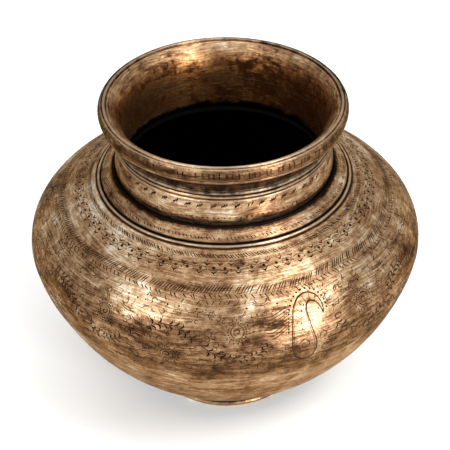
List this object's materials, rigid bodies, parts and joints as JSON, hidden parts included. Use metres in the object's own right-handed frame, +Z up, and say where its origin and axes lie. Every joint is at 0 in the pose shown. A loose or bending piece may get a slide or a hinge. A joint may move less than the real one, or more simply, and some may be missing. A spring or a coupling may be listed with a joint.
{
  "type": "brass water pot",
  "caption": "Squat round engraved brass water pot with a short neck, a wide flared lip and a low foot ring, built from raised sheet halves and turned rings brazed together.",
  "frame": {"origin": "on the axis, at the bottom of the foot ring", "axes": "+Z up along the pot's axis; -Y is the side seen from the front"},
  "size_m": [0.24, 0.24, 0.202],
  "materials": {
    "cast_brass": "cast and turned brass, worn bright on ridges, dark patina in grooves",
    "raised_brass": "hammered sheet brass, wiped round by hand, brown and purple-black patina",
    "braze": "dark brazing metal with soot and wax in the joint"
  },
  "bodies": {
    "root": {"lip_ring": "cast_brass", "lip_braze": "braze", "neck_collar": "cast_brass", "neck_braze": "braze", "neck_flange": "cast_brass", "flange_braze": "braze", "upper_shoulder": "raised_brass", "belly_braze_ring": "braze", "lower_bowl": "raised_brass", "foot_braze": "braze", "foot_ring": "cast_brass"}
  },
  "joints": []
}
